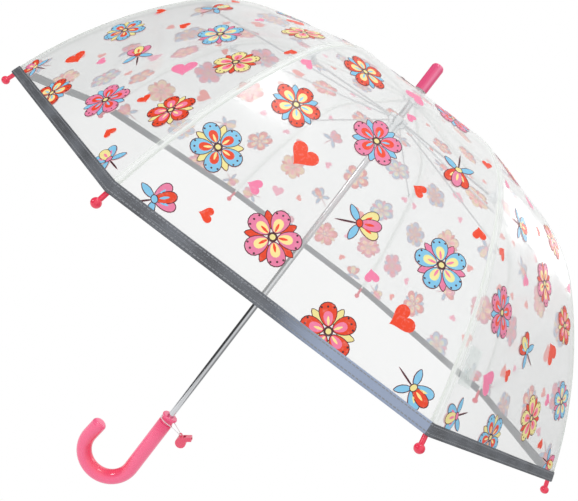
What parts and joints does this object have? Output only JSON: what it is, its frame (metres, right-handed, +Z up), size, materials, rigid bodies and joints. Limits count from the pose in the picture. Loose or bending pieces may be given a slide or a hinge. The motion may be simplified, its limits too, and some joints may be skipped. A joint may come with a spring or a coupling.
{
  "type": "children's umbrella",
  "caption": "Clear dome umbrella for a child: hooked handle, steel shaft, sliding runner with stretchers, hinged ribs with ball tips, film canopy with bound hem, whistle.",
  "frame": {"origin": "middle of the handle's straight grip, on the shaft's axis", "axes": "+Z up the shaft to the crown, -X towards the handle's hook"},
  "size_m": [0.6784, 0.6784, 0.6618],
  "materials": {
    "chromed_steel": "polished chrome plate",
    "pink_plastic": "glossy moulded plastic",
    "tip_plastic": "glossy moulded plastic",
    "whistle_plastic": "glossy moulded plastic",
    "white_plastic": "moulded plastic",
    "clear_plastic": "clear moulded plastic",
    "clear_film": "clear flexible film with printed motifs",
    "reflective_tape": "grey reflective woven tape",
    "glass_fibre": "white glass-fibre rod",
    "steel_wire": "zinc-plated steel wire",
    "cord": "thin elastic cord"
  },
  "bodies": {
    "stick": {"shaft": "chromed_steel", "handle": "pink_plastic", "handle_collar": "pink_plastic", "ferrule": "pink_plastic", "crown_cap": "clear_plastic", "top_notch": "white_plastic", "whistle_cord": "cord"},
    "runner": {"runner": "white_plastic"},
    "release_button": {"runner_button": "pink_plastic"},
    "whistle": {"whistle": "whistle_plastic"},
    "rib_1": {"rib_1": "glass_fibre", "rib_tip_1": "tip_plastic", "rib_joint_1": "white_plastic", "canopy_gore_1": "clear_film", "hem_binding_1": "reflective_tape"},
    "rib_2": {"rib_2": "glass_fibre", "rib_tip_2": "tip_plastic", "rib_joint_2": "white_plastic", "canopy_gore_2": "clear_film", "hem_binding_2": "reflective_tape"},
    "rib_3": {"rib_3": "glass_fibre", "rib_tip_3": "tip_plastic", "rib_joint_3": "white_plastic", "canopy_gore_3": "clear_film", "hem_binding_3": "reflective_tape"},
    "rib_4": {"rib_4": "glass_fibre", "rib_tip_4": "tip_plastic", "rib_joint_4": "white_plastic", "canopy_gore_4": "clear_film", "hem_binding_4": "reflective_tape"},
    "rib_5": {"rib_5": "glass_fibre", "rib_tip_5": "tip_plastic", "rib_joint_5": "white_plastic", "canopy_gore_5": "clear_film", "hem_binding_5": "reflective_tape"},
    "rib_6": {"rib_6": "glass_fibre", "rib_tip_6": "tip_plastic", "rib_joint_6": "white_plastic", "canopy_gore_6": "clear_film", "hem_binding_6": "reflective_tape"},
    "rib_7": {"rib_7": "glass_fibre", "rib_tip_7": "tip_plastic", "rib_joint_7": "white_plastic", "canopy_gore_7": "clear_film", "hem_binding_7": "reflective_tape", "closing_strap": "clear_plastic", "strap_stud": "white_plastic"},
    "rib_8": {"rib_8": "glass_fibre", "rib_tip_8": "tip_plastic", "rib_joint_8": "white_plastic", "canopy_gore_8": "clear_film", "hem_binding_8": "reflective_tape"},
    "stretcher_1": {"stretcher_1": "steel_wire"},
    "stretcher_2": {"stretcher_2": "steel_wire"},
    "stretcher_3": {"stretcher_3": "steel_wire"},
    "stretcher_4": {"stretcher_4": "steel_wire"},
    "stretcher_5": {"stretcher_5": "steel_wire"},
    "stretcher_6": {"stretcher_6": "steel_wire"},
    "stretcher_7": {"stretcher_7": "steel_wire"},
    "stretcher_8": {"stretcher_8": "steel_wire"}
  },
  "joints": [
    {"name": "runner_slide", "type": "slide", "parent": "stick", "child": "runner", "axis": [0, 0, 1], "range_m": [-0.4185, 0]},
    {"name": "release_button_press", "type": "slide", "parent": "runner", "child": "release_button", "axis": [0, -1, 0], "range_m": [0, 0.0012], "stiffness_N_per_m": 400},
    {"name": "whistle_swing", "type": "hinge", "parent": "stick", "child": "whistle", "pos_m": [0.025, 0, 0.0382], "axis": [0, 1, 0], "range_deg": [-55, 70]},
    {"name": "rib_1_fold", "type": "hinge", "parent": "stick", "child": "rib_1", "pos_m": [0.00831, 0.00344, 0.5305], "axis": [-0.3827, 0.9239, 0], "range_deg": [0, 53], "deforming": ["canopy_gore_1", "hem_binding_1"]},
    {"name": "stretcher_1_fold", "type": "hinge", "parent": "runner", "child": "stretcher_1", "pos_m": [0.00831, 0.00344, 0.5035], "axis": [-0.3827, 0.9239, 0], "range_deg": [-77.7, 0]},
    {"name": "rib_2_fold", "type": "hinge", "parent": "stick", "child": "rib_2", "pos_m": [0.00344, 0.00831, 0.5305], "axis": [-0.9239, 0.3827, 0], "range_deg": [0, 53], "deforming": ["canopy_gore_2", "hem_binding_2"]},
    {"name": "stretcher_2_fold", "type": "hinge", "parent": "runner", "child": "stretcher_2", "pos_m": [0.00344, 0.00831, 0.5035], "axis": [-0.9239, 0.3827, 0], "range_deg": [-77.7, 0]},
    {"name": "rib_3_fold", "type": "hinge", "parent": "stick", "child": "rib_3", "pos_m": [-0.00344, 0.00831, 0.5305], "axis": [-0.9239, -0.3827, 0], "range_deg": [0, 53], "deforming": ["canopy_gore_3", "hem_binding_3"]},
    {"name": "stretcher_3_fold", "type": "hinge", "parent": "runner", "child": "stretcher_3", "pos_m": [-0.00344, 0.00831, 0.5035], "axis": [-0.9239, -0.3827, 0], "range_deg": [-77.7, 0]},
    {"name": "rib_4_fold", "type": "hinge", "parent": "stick", "child": "rib_4", "pos_m": [-0.00831, 0.00344, 0.5305], "axis": [-0.3827, -0.9239, 0], "range_deg": [0, 53], "deforming": ["canopy_gore_4", "hem_binding_4"]},
    {"name": "stretcher_4_fold", "type": "hinge", "parent": "runner", "child": "stretcher_4", "pos_m": [-0.00831, 0.00344, 0.5035], "axis": [-0.3827, -0.9239, 0], "range_deg": [-77.7, 0]},
    {"name": "rib_5_fold", "type": "hinge", "parent": "stick", "child": "rib_5", "pos_m": [-0.00831, -0.00344, 0.5305], "axis": [0.3827, -0.9239, 0], "range_deg": [0, 53], "deforming": ["canopy_gore_5", "hem_binding_5"]},
    {"name": "stretcher_5_fold", "type": "hinge", "parent": "runner", "child": "stretcher_5", "pos_m": [-0.00831, -0.00344, 0.5035], "axis": [0.3827, -0.9239, 0], "range_deg": [-77.7, 0]},
    {"name": "rib_6_fold", "type": "hinge", "parent": "stick", "child": "rib_6", "pos_m": [-0.00344, -0.00831, 0.5305], "axis": [0.9239, -0.3827, 0], "range_deg": [0, 53], "deforming": ["canopy_gore_6", "hem_binding_6"]},
    {"name": "stretcher_6_fold", "type": "hinge", "parent": "runner", "child": "stretcher_6", "pos_m": [-0.00344, -0.00831, 0.5035], "axis": [0.9239, -0.3827, 0], "range_deg": [-77.7, 0]},
    {"name": "rib_7_fold", "type": "hinge", "parent": "stick", "child": "rib_7", "pos_m": [0.00344, -0.00831, 0.5305], "axis": [0.9239, 0.3827, 0], "range_deg": [0, 53], "deforming": ["canopy_gore_7", "hem_binding_7", "closing_strap", "strap_stud"]},
    {"name": "stretcher_7_fold", "type": "hinge", "parent": "runner", "child": "stretcher_7", "pos_m": [0.00344, -0.00831, 0.5035], "axis": [0.9239, 0.3827, 0], "range_deg": [-77.7, 0]},
    {"name": "rib_8_fold", "type": "hinge", "parent": "stick", "child": "rib_8", "pos_m": [0.00831, -0.00344, 0.5305], "axis": [0.3827, 0.9239, 0], "range_deg": [0, 53], "deforming": ["canopy_gore_8", "hem_binding_8"]},
    {"name": "stretcher_8_fold", "type": "hinge", "parent": "runner", "child": "stretcher_8", "pos_m": [0.00831, -0.00344, 0.5035], "axis": [0.3827, 0.9239, 0], "range_deg": [-77.7, 0]}
  ],
  "couplings": [
    {"joint": "rib_1_fold", "follows": "runner_slide", "rad_per_m": -2.2082},
    {"joint": "stretcher_1_fold", "follows": "runner_slide", "rad_per_m": 3.2384},
    {"joint": "rib_2_fold", "follows": "runner_slide", "rad_per_m": -2.2082},
    {"joint": "stretcher_2_fold", "follows": "runner_slide", "rad_per_m": 3.2384},
    {"joint": "rib_3_fold", "follows": "runner_slide", "rad_per_m": -2.2082},
    {"joint": "stretcher_3_fold", "follows": "runner_slide", "rad_per_m": 3.2384},
    {"joint": "rib_4_fold", "follows": "runner_slide", "rad_per_m": -2.2082},
    {"joint": "stretcher_4_fold", "follows": "runner_slide", "rad_per_m": 3.2384},
    {"joint": "rib_5_fold", "follows": "runner_slide", "rad_per_m": -2.2082},
    {"joint": "stretcher_5_fold", "follows": "runner_slide", "rad_per_m": 3.2384},
    {"joint": "rib_6_fold", "follows": "runner_slide", "rad_per_m": -2.2082},
    {"joint": "stretcher_6_fold", "follows": "runner_slide", "rad_per_m": 3.2384},
    {"joint": "rib_7_fold", "follows": "runner_slide", "rad_per_m": -2.2082},
    {"joint": "stretcher_7_fold", "follows": "runner_slide", "rad_per_m": 3.2384},
    {"joint": "rib_8_fold", "follows": "runner_slide", "rad_per_m": -2.2082},
    {"joint": "stretcher_8_fold", "follows": "runner_slide", "rad_per_m": 3.2384}
  ]
}
